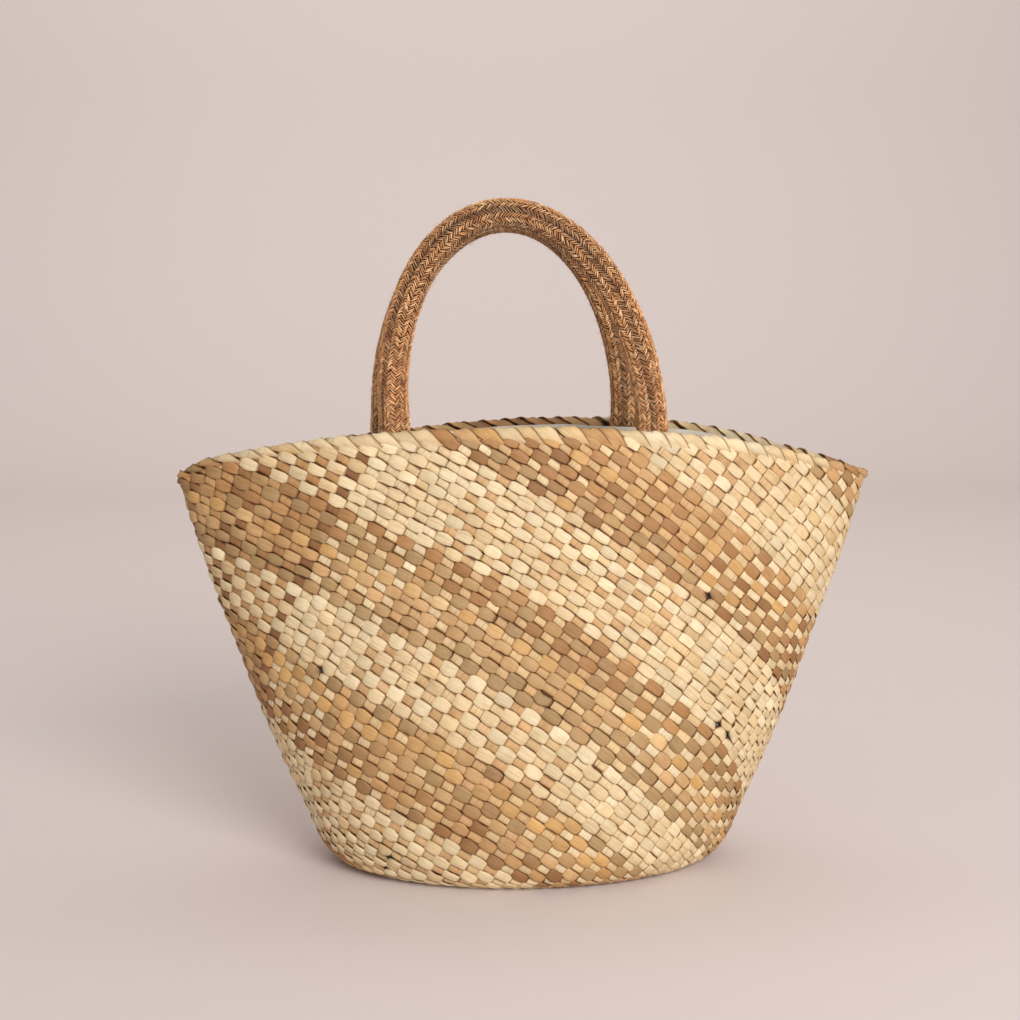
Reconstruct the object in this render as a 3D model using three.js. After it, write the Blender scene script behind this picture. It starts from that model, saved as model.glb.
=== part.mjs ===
// Woven straw beach tote with two braided handles, in millimetres, +Z up, front towards -Y
import * as THREE from "three";
import { LoftGeometry } from "three/addons/geometries/LoftGeometry.js";

// Basket wall and floor
const wallThickness = 3;
const floorThickness = 3;
const floorCrown = 0.2;
const pieceGap = 0.4;
const aroundSteps = 72;

// Outer sections of the wall from the floor to the edge of the mouth.
// rise is the share of the edge height, endFold is how tightly the two ends close.
const wallSections = [
  { rise: 0.0, halfWidth: 119, halfDepth: 70, endFold: 1.0 },
  { rise: 0.012, halfWidth: 127, halfDepth: 75, endFold: 1.0 },
  { rise: 0.04, halfWidth: 134, halfDepth: 79, endFold: 1.0 },
  { rise: 0.14, halfWidth: 147, halfDepth: 81, endFold: 1.02 },
  { rise: 0.35, halfWidth: 171.5, halfDepth: 79, endFold: 1.08 },
  { rise: 0.57, halfWidth: 192.5, halfDepth: 74, endFold: 1.15 },
  { rise: 0.78, halfWidth: 212, halfDepth: 67, endFold: 1.22 },
  { rise: 1.0, halfWidth: 229, halfDepth: 60, endFold: 1.3 },
];
const wallRises = [0, 0.012, 0.04, 0.085, 0.14, 0.24, 0.35, 0.46, 0.57, 0.68, 0.78, 0.89, 1];

// Height of the mouth's edge round the bag, in degrees from the right end by the back to the front.
// It arches up at the front and back, and the back is lowest towards the left.
const edgeHeights = [
  { angle: 0, height: 263 },
  { angle: 30, height: 273 },
  { angle: 60, height: 292 },
  { angle: 90, height: 294.5 },
  { angle: 120, height: 284 },
  { angle: 150, height: 271.5 },
  { angle: 180, height: 263 },
  { angle: 210, height: 278.5 },
  { angle: 240, height: 293 },
  { angle: 270, height: 299 },
  { angle: 300, height: 291.5 },
  { angle: 330, height: 273 },
];

// Plaited edge on top of the wall
const braidHeight = 10;
const braidThickness = 6.4;
const braidCorner = 2;
const braidSeat = 0.5;

// Cloth lining
const liningThickness = 1;
const liningDrop = 1;
const liningRises = [0, 0.012, 0.04, 0.14, 0.35, 0.57, 0.72, 0.8, 0.86, 0.92, 0.965, 1];

// Braided handles: half an ellipse above the edge and two legs down behind it
const handleSeatHalfSpan = 82.8;
const handleRise = 128;
const handleFootHeight = 301;
const handleArchSteps = 24;
const handleSides = 16;
const handleClearance = 0.4;
const handleStraighten = 40;
const creaseDepth = 0.2;
const creaseSpread = 0.42;
const handles = [
  { name: "handle_front", side: -1, shift: -4.5, lean: -11 },
  { name: "handle_back", side: 1, shift: -11, lean: 0 },
];

// Sections of a handle by their height from the feet of the arch: the legs flatten as they go down
const handleSections = [
  { height: -46, width: 27, thickness: 7 },
  { height: -32, width: 26.5, thickness: 8 },
  { height: -16, width: 25, thickness: 11.5 },
  { height: -6, width: 24, thickness: 14 },
  { height: 4, width: 23.5, thickness: 15 },
  { height: 40, width: 23, thickness: 18.5 },
  { height: 90, width: 22.5, thickness: 20 },
  { height: 128, width: 21.5, thickness: 20 },
];
// How far the lining is pushed in over a leg, and how far beside and below it the push dies out
const liningPushHalfWidth = 18;
const liningPushFade = 24;
const liningPushBelow = 30;

const strawMaterial = { color: 0xe0bd92, roughness: 0.8 };
const braidMaterial = { color: 0xcfa673, roughness: 0.8 };
const liningMaterial = { color: 0xd9d2c4, roughness: 0.95 };
const juteMaterial = { color: 0xa77a57, roughness: 0.95 };

// A smooth function through one column of a table
function column(rows, key, name) {
  const keys = rows.map((row) => row[key]);
  const values = rows.map((row) => row[name]);
  const curve = new THREE.CubicInterpolant(keys, values, 1);
  return (at) => curve.evaluate(THREE.MathUtils.clamp(at, keys[0], keys.at(-1)))[0];
}

const wallHalfWidth = column(wallSections, "rise", "halfWidth");
const wallHalfDepth = column(wallSections, "rise", "halfDepth");
const wallEndFold = column(wallSections, "rise", "endFold");
const handleWidth = column(handleSections, "height", "width");
const handleThickness = column(handleSections, "height", "thickness");

// The edge table again with a row before and two after, so that the curve closes smoothly
const edgeRows = [-1, ...edgeHeights.keys(), edgeHeights.length, edgeHeights.length + 1].map((i) => {
  const row = edgeHeights.at(i % edgeHeights.length);
  return { angle: row.angle + 360 * Math.floor(i / edgeHeights.length), height: row.height };
});
const edgeCurve = column(edgeRows, "angle", "height");

function edgeHeight(angle) {
  return edgeCurve(THREE.MathUtils.euclideanModulo(THREE.MathUtils.radToDeg(angle), 360));
}

// Point of the wall's outer surface, moved in by inset and set at the given height
function wallPoint(angle, rise, inset, height) {
  const halfWidth = wallHalfWidth(rise);
  const halfDepth = wallHalfDepth(rise);
  const endFold = wallEndFold(rise);
  const cosine = Math.cos(angle);
  const sine = Math.sin(angle);
  const reach = Math.abs(sine);
  const x = halfWidth * cosine;
  const y = halfDepth * Math.sign(sine) * reach ** endFold;
  const inward = new THREE.Vector2(-Math.sign(cosine), 0);
  if (reach > 1e-6) {
    inward.set(-halfDepth * endFold * reach ** (endFold - 1) * cosine, -halfWidth * sine).normalize();
  }
  return new THREE.Vector3(x + inward.x * inset, y + inward.y * inset, height);
}

function ring(angles, pointAt) {
  return angles.map((angle) => pointAt(angle));
}

// Closed shell: up the outside, over the top, down the inside and in over a slightly crowned floor
function shell(outside, inside) {
  const floorEdge = inside[0];
  const floorMiddle = floorEdge.map(({ x, y, z }) => new THREE.Vector3(x / 2, y / 2, z + floorCrown));
  const sections = [...outside, ...inside.toReversed(), floorMiddle];
  return new LoftGeometry(sections, { capStart: true, capEnd: true });
}

const evenAngles = Array.from({ length: aroundSteps }, (_, i) => (i / aroundSteps) * 2 * Math.PI);

// Basket body: the hollow wall and its floor
function basketBody() {
  const topHeight = (angle) => edgeHeight(angle) - braidHeight - braidSeat;
  const outside = wallRises.map((rise) =>
    ring(evenAngles, (angle) => {
      const share = (rise * topHeight(angle)) / edgeHeight(angle);
      return wallPoint(angle, share, 0, rise * topHeight(angle));
    }),
  );
  const inside = wallRises.map((rise) =>
    ring(evenAngles, (angle) => {
      const share = (rise * topHeight(angle)) / edgeHeight(angle);
      const height = floorThickness + rise * (topHeight(angle) - floorThickness);
      return wallPoint(angle, share, wallThickness, height);
    }),
  );
  return shell(outside, inside);
}

// Plaited edge: a rounded band that stands on the wall and follows the mouth
function rimBraid() {
  const half = braidThickness / 2;
  const outline = [
    { across: -half, up: braidCorner },
    { across: -half + braidCorner, up: 0 },
    { across: half - braidCorner, up: 0 },
    { across: half, up: braidCorner },
    { across: half, up: braidHeight - braidCorner },
    { across: half - braidCorner, up: braidHeight },
    { across: -half + braidCorner, up: braidHeight },
    { across: -half, up: braidHeight - braidCorner },
  ];
  const loops = [...evenAngles, evenAngles[0]].map((angle) => {
    const bottom = edgeHeight(angle) - braidHeight;
    return outline.map(({ across, up }) => {
      const height = bottom + up;
      return wallPoint(angle, height / edgeHeight(angle), wallThickness / 2 + across, height);
    });
  });
  return new LoftGeometry(loops);
}

// How far a leg's middle lies in from the outside of the wall, at a height from the feet of the arch
function legInset(height) {
  const seat = wallThickness / 2 + braidThickness / 2 + handleClearance;
  return seat + handleThickness(height) / 2;
}

// Angle round the wall where a leg stands, at a share of the edge height
function legAngle({ side, shift }, end, rise) {
  return side * Math.acos((end * handleSeatHalfSpan + shift) / wallHalfWidth(rise));
}

// Middle of a leg below the feet of the arch, and the way that its flat back faces
function legStation(row, end, height) {
  const level = handleFootHeight + height;
  const rise = Math.min(level / edgeHeight(legAngle(row, end, 1)), 1);
  const angle = legAngle(row, end, rise);
  const middle = wallPoint(angle, rise, legInset(height), level);
  const facing = wallPoint(angle, rise, 0, level).sub(middle).normalize().multiplyScalar(row.side);
  return { height, middle, facing };
}

// Handle: legs up, over the arch and down again, with a crease along its inner side
function handle(row) {
  const legHeights = handleSections.map((section) => section.height).filter((height) => height < 0);
  const right = legHeights.map((height) => legStation(row, 1, height));
  const left = legHeights.map((height) => legStation(row, -1, height));
  const straight = new THREE.Vector3(0, 1, 0);
  const arch = Array.from({ length: handleArchSteps + 1 }, (_, i) => {
    const turn = (i / handleArchSteps) * Math.PI;
    const height = handleRise * Math.sin(turn);
    const rightFoot = legStation(row, 1, 0);
    const leftFoot = legStation(row, -1, 0);
    const middle = leftFoot.middle.lerp(rightFoot.middle, (1 + Math.cos(turn)) / 2);
    middle.x += (row.lean * height) / handleRise;
    middle.z += height;
    const foot = Math.cos(turn) < 0 ? leftFoot : rightFoot;
    const facing = foot.facing.lerp(straight, THREE.MathUtils.smoothstep(height, 0, handleStraighten));
    return { height, middle, facing };
  });
  const stations = [...right, ...arch, ...left.toReversed()];
  const sections = stations.map(({ height, middle, facing }, i) => {
    const before = stations[Math.max(i - 1, 0)].middle;
    const after = stations[Math.min(i + 1, stations.length - 1)].middle;
    const along = after.clone().sub(before).normalize();
    const through = facing.clone().addScaledVector(along, -along.dot(facing)).normalize();
    const across = new THREE.Vector3().crossVectors(through, along);
    return handleSection(middle, across, through, handleWidth(height), handleThickness(height));
  });
  return new LoftGeometry(sections, { capStart: true, capEnd: true });
}

function handleSection(middle, across, through, width, thickness) {
  return Array.from({ length: handleSides }, (_, k) => {
    const turn = (k / handleSides) * 2 * Math.PI;
    const away = Math.atan2(Math.sin(turn - Math.PI), Math.cos(turn - Math.PI));
    const crease = 1 - creaseDepth * Math.exp(-((away / creaseSpread) ** 2));
    return middle
      .clone()
      .addScaledVector(across, (width / 2) * Math.cos(turn) * crease)
      .addScaledVector(through, (thickness / 2) * Math.sin(turn) * crease);
  });
}

// Angles for the lining: even steps and closer ones beside the four legs
function liningAngles() {
  const marks = [liningPushHalfWidth, liningPushHalfWidth + liningPushFade / 2];
  const angles = evenAngles.filter((_, i) => i % 2 === 0);
  for (const { side, shift } of handles) {
    for (const end of [-1, 1]) {
      for (const mark of [-marks[1], -marks[0], 0, marks[0], marks[1]]) {
        const x = end * handleSeatHalfSpan + shift + mark;
        angles.push(side * Math.acos(x / wallHalfWidth(0.95)));
      }
    }
  }
  const turned = angles.map((angle) => THREE.MathUtils.euclideanModulo(angle, 2 * Math.PI));
  return turned.sort((a, b) => a - b);
}

// How far the lining lies in from the outside of the wall
function liningInset(point, height) {
  const seat = wallThickness + pieceGap;
  const lowest = handleSections[0].height;
  const level = Math.min(height - handleFootHeight, 0);
  const overLeg = legInset(level) + handleThickness(level) / 2 + 2 * handleClearance;
  const { shift } = handles.find((row) => row.side * point.y >= 0);
  const aside = Math.abs(Math.abs(point.x - shift) - handleSeatHalfSpan) - liningPushHalfWidth;
  const below = lowest - 4 - level;
  const sideShare = 1 - THREE.MathUtils.smoothstep(aside, 0, liningPushFade);
  const downShare = 1 - THREE.MathUtils.smoothstep(below, 0, liningPushBelow);
  return seat + (overLeg - seat) * sideShare * downShare;
}

// Lining: a thin cloth bag inside the wall, pushed in where it passes over the legs
function lining() {
  const angles = liningAngles();
  const topHeight = (angle) => edgeHeight(angle) - braidHeight - liningDrop;
  const face = (extra) =>
    liningRises.map((rise) =>
      ring(angles, (angle) => {
        const share = (rise * topHeight(angle)) / edgeHeight(angle);
        const floor = floorThickness + pieceGap + extra;
        const height = floor + rise * (topHeight(angle) - floor);
        const outer = wallPoint(angle, share, 0, height);
        return wallPoint(angle, share, liningInset(outer, height) + extra, height);
      }),
    );
  return shell(face(0), face(liningThickness));
}

function piece(name, geometry, material) {
  const mesh = new THREE.Mesh(geometry, new THREE.MeshStandardMaterial(material));
  mesh.name = name;
  return mesh;
}

const tote = new THREE.Group();
tote.name = "beach_tote";
tote.add(piece("basket_body", basketBody(), strawMaterial));
tote.add(piece("rim_braid", rimBraid(), braidMaterial));
tote.add(piece("lining", lining(), liningMaterial));
for (const row of handles) {
  tote.add(piece(row.name, handle(row), juteMaterial));
}

export default tote;
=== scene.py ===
# Plaited leaf beach tote with braided jute handles, dressed over its CAD frame
import math
import bpy
import bmesh
import numpy as np
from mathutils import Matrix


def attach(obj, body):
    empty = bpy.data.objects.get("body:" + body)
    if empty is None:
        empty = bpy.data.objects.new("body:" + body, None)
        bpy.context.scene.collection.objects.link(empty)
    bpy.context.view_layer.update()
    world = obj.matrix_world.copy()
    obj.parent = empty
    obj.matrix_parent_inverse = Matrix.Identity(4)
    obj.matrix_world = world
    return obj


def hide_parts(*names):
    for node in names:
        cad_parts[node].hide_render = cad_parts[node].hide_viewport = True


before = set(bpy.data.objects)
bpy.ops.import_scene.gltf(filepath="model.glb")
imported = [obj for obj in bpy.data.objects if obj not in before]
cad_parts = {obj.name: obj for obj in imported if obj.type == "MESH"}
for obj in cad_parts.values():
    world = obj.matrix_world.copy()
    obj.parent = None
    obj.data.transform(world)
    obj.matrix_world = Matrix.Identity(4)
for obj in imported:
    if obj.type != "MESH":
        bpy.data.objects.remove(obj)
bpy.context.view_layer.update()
print("frame loaded:", len(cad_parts), "solids")

mm = 0.001


# small helpers

def smoothColumn(at, keys, values):
    # smooth curve through one column of a table
    keys = np.asarray(keys, float)
    values = np.asarray(values, float)
    slopes = np.gradient(values, keys)
    at = np.clip(np.asarray(at, float), keys[0], keys[-1])
    i = np.clip(np.searchsorted(keys, at) - 1, 0, len(keys) - 2)
    gap = keys[i + 1] - keys[i]
    u = (at - keys[i]) / gap
    start = (2 * u**3 - 3 * u**2 + 1) * values[i] + (u**3 - 2 * u**2 + u) * gap * slopes[i]
    end = (3 * u**2 - 2 * u**3) * values[i + 1] + (u**3 - u**2) * gap * slopes[i + 1]
    return start + end


def smoothStep(value, low, high):
    u = np.clip((np.asarray(value, float) - low) / (high - low), 0, 1)
    return u * u * (3 - 2 * u)


def unit(vectors):
    return vectors / np.maximum(np.linalg.norm(vectors, axis=-1, keepdims=True), 1e-12)


def lengthAlong(places):
    # length of a line of points up to each of them
    return np.concatenate([[0], np.cumsum(np.linalg.norm(np.diff(places, axis=0), axis=1))])


def roundSlope(grid):
    # change from column to column in a grid that closes on itself
    wide = np.concatenate([grid[:, -2:-1], grid, grid[:, 1:2]], axis=1)
    return wide[:, 2:] - wide[:, :-2]


def onGrid(places, normals, u, v):
    # point and outward direction at column u and row v of two grids
    u, v = np.broadcast_arrays(u, np.clip(v, 0, len(places) - 1.001))
    j = np.minimum(u.astype(int), places.shape[1] - 2)
    i = v.astype(int)
    fu = (u - j)[..., None]
    fv = (v - i)[..., None]
    results = []
    for grid in (places, normals):
        upper = grid[i, j] * (1 - fu) + grid[i, j + 1] * fu
        lower = grid[i + 1, j] * (1 - fu) + grid[i + 1, j + 1] * fu
        results.append(upper * (1 - fv) + lower * fv)
    return results[0], unit(results[1])


def linear(red, green, blue):
    # screen colour from 0 to 255, made linear
    share = np.array([red, green, blue]) / 255
    return np.where(share <= 0.04045, share / 12.92, ((share + 0.055) / 1.055) ** 2.4)


def rodBlank(name, sides, rings, capped=True):
    # straight rod along z, one ring of points at each whole number
    bm = bmesh.new()
    bmesh.ops.create_cone(bm, cap_ends=capped, segments=sides, radius1=1, radius2=1, depth=rings - 1)
    bmesh.ops.translate(bm, verts=bm.verts[:], vec=(0, 0, (rings - 1) / 2))
    upright = [e for e in bm.edges if abs(e.verts[0].co.z - e.verts[1].co.z) > 0.5]
    bmesh.ops.subdivide_edges(bm, edges=upright, cuts=rings - 2, use_grid_fill=True)
    bmesh.ops.recalc_face_normals(bm, faces=bm.faces[:])
    blank = bpy.data.meshes.new(name)
    bm.to_mesh(blank)
    bm.free()
    return blank


def blankPlaces(blank):
    places = np.empty(len(blank.vertices) * 3, np.float32)
    blank.vertices.foreach_get("co", places)
    return places.reshape(-1, 3).astype(float)


def rodOrder(blank, sides):
    # which side and which ring each point of a rod belongs to
    places = blankPlaces(blank)
    turn = np.arctan2(places[:, 0], places[:, 1]) / (2 * math.pi) * sides
    return np.round(turn).astype(int) % sides, np.round(places[:, 2]).astype(int)


def copiesOf(blank, name, places):
    # one mesh of many copies of a blank, each with its points moved to their places in millimetres
    copies, points = places.shape[:2]
    corners = np.empty(len(blank.loops), np.int32)
    starts = np.empty(len(blank.polygons), np.int32)
    blank.loops.foreach_get("vertex_index", corners)
    blank.polygons.foreach_get("loop_start", starts)
    number = np.arange(copies, dtype=np.int32)[:, None]
    mesh = bpy.data.meshes.new(name)
    mesh.vertices.add(copies * points)
    mesh.loops.add(copies * len(corners))
    mesh.polygons.add(copies * len(starts))
    mesh.vertices.foreach_set("co", (places * mm).astype(np.float32).ravel())
    mesh.loops.foreach_set("vertex_index", (corners[None] + number * points).ravel())
    mesh.polygons.foreach_set("loop_start", (starts[None] + number * len(corners)).ravel())
    mesh.update(calc_edges=True)
    mesh.validate()
    mesh.shade_smooth()
    if volumeOf(mesh) < 0:
        mesh.flip_normals()
    return mesh


def volumeOf(mesh):
    mesh.calc_loop_triangles()
    corners = np.empty(len(mesh.loop_triangles) * 3, np.int32)
    mesh.loop_triangles.foreach_get("vertices", corners)
    places = blankPlaces(mesh)[corners].reshape(-1, 3, 3)
    return np.einsum("ij,ij->i", places[:, 0], np.cross(places[:, 1], places[:, 2])).sum() / 6


def pointColours(mesh, name, colours):
    layer = mesh.attributes.new(name, "FLOAT_COLOR", "POINT")
    layer.data.foreach_set("color", colours.astype(np.float32).ravel())


def pointValues(mesh, name, values):
    layer = mesh.attributes.new(name, "FLOAT", "POINT")
    layer.data.foreach_set("value", values.astype(np.float32).ravel())


def pointVectors(mesh, name, vectors):
    layer = mesh.attributes.new(name, "FLOAT_VECTOR", "POINT")
    layer.data.foreach_set("vector", vectors.astype(np.float32).ravel())


def addPiece(name, mesh, material, slot, *nodes):
    piece = bpy.data.objects.new(name, mesh)
    bpy.context.scene.collection.objects.link(piece)
    mesh.materials.clear()
    mesh.materials.append(material)
    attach(piece, "root")
    if nodes:
        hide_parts(*nodes)
    mesh.calc_loop_triangles()
    print("piece", name, len(mesh.loop_triangles), "triangles")
    return piece


# material helpers

def startMaterial(name):
    material = bpy.data.materials.new(name)
    material.use_nodes = True
    tree = material.node_tree
    return material, tree, tree.nodes["Principled BSDF"]


def addNode(tree, kind, inputs=None, **settings):
    node = tree.nodes.new("ShaderNode" + kind)
    for name, value in settings.items():
        setattr(node, name, value)
    for socket, value in (inputs or {}).items():
        if isinstance(value, bpy.types.NodeSocket):
            tree.links.new(value, node.inputs[socket])
        else:
            node.inputs[socket].default_value = value
    return node


def ramp(tree, factor, stops):
    # grey or colour ramp from a list of (place, colour)
    node = addNode(tree, "ValToRGB", {"Fac": factor})
    elements = node.color_ramp.elements
    while len(elements) < len(stops):
        elements.new(0.5)
    for element, (place, colour) in zip(elements, stops):
        element.position = place
        if not hasattr(colour, "__len__"):
            colour = (colour,) * 3
        element.color = (*colour, 1)
    return node.outputs["Color"]


def multiply(tree, first, second, share=1.0):
    node = addNode(tree, "Mix", data_type="RGBA", blend_type="MULTIPLY")
    node.inputs["Factor"].default_value = share
    tree.links.new(first, node.inputs["A"])
    tree.links.new(second, node.inputs["B"])
    return node.outputs["Result"]


def noise(tree, vector, scale, detail, roughness=0.5):
    inputs = {"Vector": vector, "Scale": scale, "Detail": detail, "Roughness": roughness}
    return addNode(tree, "TexNoise", inputs).outputs["Fac"]


def addBump(tree, shader, finish, height):
    inputs = {"Strength": finish["bump"], "Distance": finish["bumpDepth"], "Height": height}
    tree.links.new(addNode(tree, "Bump", inputs).outputs["Normal"], shader.inputs["Normal"])


# form of the wall, as the CAD has it; rise below 0 turns in under the base

wall = {
    "rise": [-0.07, 0, 0.012, 0.04, 0.14, 0.35, 0.57, 0.78, 1],
    "halfWidth": [98, 119, 127, 134, 147, 171.5, 192.5, 212, 229],
    "halfDepth": [49, 70, 75, 79, 81, 79, 74, 67, 60],
    "endFold": [1, 1, 1, 1, 1.02, 1.08, 1.15, 1.22, 1.3],
    "edgeAngle": [0, 30, 60, 90, 120, 150, 180, 210, 240, 270, 300, 330],
    "edgeHeight": [263, 273, 292, 294.5, 284, 271.5, 263, 278.5, 293, 299, 291.5, 273],
    "thickness": 3,
}


def edgeHeightAt(theta):
    angles = wall["edgeAngle"]
    heights = wall["edgeHeight"]
    angles = [angles[-2] - 360, angles[-1] - 360, *angles, 360, 390]
    heights = [*heights[-2:], *heights, *heights[:2]]
    return smoothColumn(np.degrees(theta) % 360, angles, heights)


def halfWidthAt(rise):
    return smoothColumn(rise, wall["rise"], wall["halfWidth"])


def wallPoint(theta, rise, inset, height):
    given = [np.asarray(value, float) for value in (theta, rise, inset, height)]
    theta, rise, inset, height = np.broadcast_arrays(*given)
    halfWidth = halfWidthAt(rise)
    halfDepth = smoothColumn(rise, wall["rise"], wall["halfDepth"])
    fold = smoothColumn(rise, wall["rise"], wall["endFold"])
    cosine = np.cos(theta)
    sine = np.sin(theta)
    reach = np.maximum(np.abs(sine), 1e-7)
    x = halfWidth * cosine
    y = halfDepth * np.sign(sine) * reach**fold
    inward = unit(np.stack([-halfDepth * fold * reach ** (fold - 1) * cosine, -halfWidth * sine], -1))
    return np.stack([x + inward[..., 0] * inset, y + inward[..., 1] * inset, height], -1)


# plait: rows run down the wall, columns round it; two families of strips cross on the slant

plait = {
    "strips": 74,
    "rowDepth": [0, 110, 150, 200, 280],         # rows are taller lower down the wall
    "rowHeight": [9.5, 9.6, 10.8, 11.6, 11.0],
    "crowdRise": [0, 0.34, 0.52, 0.7, 1],        # columns are wide in front and narrow at the ends
    "crowd": [-0.3, -0.3, -0.12, 0, 0.03],
    "crowdEnds": [-0.1, -0.1, -0.06, 0, 0],
    "slopeOver": 1.5,          # columns gained by a broad strip in each row down
    "slopeUnder": -0.5,
    "lean": 0.07,              # and lost again, more so lower down
    "leanFrom": 12,
    "leanMore": 0.06,
    "droopRow": [0, 5, 10, 14, 18, 24, 29],      # rows hang lower at the ends of the bag
    "droop": [0, 0.6, 1.2, 1.7, 2.1, 2.0, 0],
    "cornerRise": 0.03,
    "gridColumns": 592,
    "rowStep": 0.1,
    "firstRow": 0.45,
    "inset": 1.0,
    "insetBase": 1.9,
    "square": (4, 10, 26, 34),  # over these columns both families show as even squares
    "squareShift": 20,
    "parted": [(24, 14), (11, 25.5), (9, 26.5), (40, 17.5), (40, 18), (50, 10)],  # small gaps: strip, row; pulled open a little and darkened with painted shade
    "partedReach": (0.23, 0.18),  # columns and rows
    "partedPull": 0.3,
    # painted shade at the gaps: a darker tint, and a lower value for the tuck shade
    "partedShade": 0.75,
    "partedTuckShade": 0.8,
    "wallSteps": 321,           # samples down and round the wall for the grid
    "roundSteps": 1441,
}


def droopAt(columnShare, row):
    atEnds = (1 + np.cos(4 * math.pi * columnShare)) / 2
    return atEnds * np.interp(row, plait["droopRow"], plait["droop"])


def buildPlaitGrid():
    rises = np.linspace(1, wall["rise"][0], plait["wallSteps"])
    theta = np.linspace(0, 2 * math.pi, plait["roundSteps"])
    columns = np.linspace(0, 1, plait["gridColumns"] + 1)
    lines = []
    for rise in rises:
        section = wallPoint(theta, rise, 0, 0)
        length = lengthAlong(section)
        crowd = np.interp(rise, plait["crowdRise"], plait["crowd"]) / (4 * math.pi)
        crowdEnds = np.interp(rise, plait["crowdRise"], plait["crowdEnds"]) / (8 * math.pi)
        wanted = columns + crowd * np.sin(4 * math.pi * columns)
        wanted = wanted + crowdEnds * np.sin(8 * math.pi * columns)
        angle = np.interp(wanted, length / length[-1], theta)
        lines.append(wallPoint(angle, rise, 0, max(rise, 0) * edgeHeightAt(angle)))
    places = np.array(lines)
    fall = np.linalg.norm(np.diff(places, axis=0), axis=2).mean(axis=1)
    depth = np.concatenate([[0], np.cumsum(fall)])
    rowsPerMm = 1 / np.interp((depth[1:] + depth[:-1]) / 2, plait["rowDepth"], plait["rowHeight"])
    rowOf = np.concatenate([[0], np.cumsum(fall * rowsPerMm)])
    rows = np.arange(0, rowOf[-1], plait["rowStep"])
    cornerRow = np.interp(-plait["cornerRise"], -rises, rowOf)
    hung = rows[:, None] + droopAt(columns[None], rows[:, None])
    at = np.interp(hung, rowOf, np.arange(len(rises)))
    low = np.clip(at.astype(int), 0, len(rises) - 2)
    share = (at - low)[..., None]
    every = np.arange(len(columns))[None]
    places = places[low, every] * (1 - share) + places[low + 1, every] * share
    down = np.gradient(places, axis=0)
    return places, unit(np.cross(down, roundSlope(places))), cornerRow, rows[-1]


plaitPlaces, plaitNormals, cornerRow, lastRow = buildPlaitGrid()
print("plait grid:", plaitPlaces.shape, "corner at row", round(cornerRow, 2), "end", round(lastRow, 2))


def onPlait(column, row):
    u = column / plait["strips"] % 1 * plait["gridColumns"]
    return onGrid(plaitPlaces, plaitNormals, u, row / plait["rowStep"])


def plaitLean(row):
    return plait["lean"] * row + plait["leanMore"] * np.maximum(row - plait["leanFrom"], 0)


def squareShare(column):
    start, full, fade, end = plait["square"]
    at = (column + plait["squareShift"]) % plait["strips"]
    return smoothStep(at, start, full) * (1 - smoothStep(at, fade, end))


def partedShare(column, row):
    # nearness to the gaps where the strips have moved apart
    near = np.zeros(column.shape)
    columnReach, rowReach = plait["partedReach"]
    for strip, gapRow in plait["parted"]:
        gapColumn = strip + 0.5 + plait["slopeOver"] * gapRow - plaitLean(gapRow)
        apart = (column - gapColumn + plait["strips"] / 2) % plait["strips"] - plait["strips"] / 2
        near = np.maximum(near, np.exp(-((apart / columnReach) ** 2) - ((row - gapRow) / rowReach) ** 2))
    return near


# colours of the leaf; the strips keep theirs from end to end

leafTints = {
    "cream": linear(239, 216, 175),
    "straw": linear(234, 208, 164),
    "ivory": linear(243, 223, 185),
    "honey": linear(228, 196, 146),
    "sand": linear(211, 170, 120),
    "tan": linear(202, 157, 105),
    "ochre": linear(218, 172, 110),
    "olive": linear(182, 149, 104),
    "brown": linear(181, 134, 86),
    "umber": linear(160, 114, 71),
    "rose": linear(217, 174, 124),
    "bark": linear(150, 106, 68),
}


def tints(*names):
    return np.array([leafTints[name] for name in names])


leafGroups = {
    "pale": tints("cream", "straw", "ivory", "cream", "straw", "honey"),
    "tan": tints("tan", "ochre", "olive", "sand", "umber", "brown"),
    "olive": tints("olive", "tan", "olive", "sand"),
    "golden": tints("ochre", "honey"),
    "brown": tints("brown", "umber", "tan", "olive", "brown"),
    "rose": tints("rose", "sand", "honey", "rose", "straw"),
    "shade": tints("olive", "brown", "tan", "olive", "umber"),
    "russet": tints("tan", "brown", "sand", "tan", "umber"),
    "blush": tints("honey", "rose", "straw", "sand"),
    "amber": tints("ochre", "sand", "honey", "tan", "rose", "straw"),
    "bark": tints("bark", "umber"),
}

overStrips = {
    "seed": 11,
    "slope": plait["slopeOver"],
    "shift": 0.0,               # on top at whole rows
    "ringsPerRow": 7,
    "lift": (0.85, 0.68),       # in the lozenge plait and in the square plait
    "hold": (0.34, 0.15),       # stays on top for longer than it is tucked under
    "widthOver": (1.2, 1.2),   # widths in spaces from strip to strip
    "widthTucked": (0.64, 0.72),
    "pinchAbove": (0.18, 0.48),  # blunt where it comes out, pointed where it goes under
    "pinchBelow": (0.06, 0.42),
    "shadeShift": (0.12, -0.06),  # less shade where it comes out than where it goes under
    "drift": 0.035,
    # upper edges get less of the painted edge shade, as the light falls from above
    "upperEdge": 0.05,
    "crown": 0.8,
    "across": [-1, -0.88, -0.5, 0, 0.5, 0.88, 1, 0.5, -0.5],
    "height": [-0.1, 0.55, 0.92, 1.0, 0.92, 0.55, -0.1, -0.4, -0.4],
    "tilt": 0.1,
    "sideways": 0.4,
    "bands": [
        (0, 6, "brown"), (17, 24, "tan"), (31, 34, "olive"), (35, 35, "golden"), (36, 39, "shade"),
        (50, 55, "tan"), (56, 58, "russet"), (69, 73, "tan"),
    ],
    "padMix": 0.8,
    "streaks": 0.85,            # strength of the lines along the leaf
}

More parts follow.
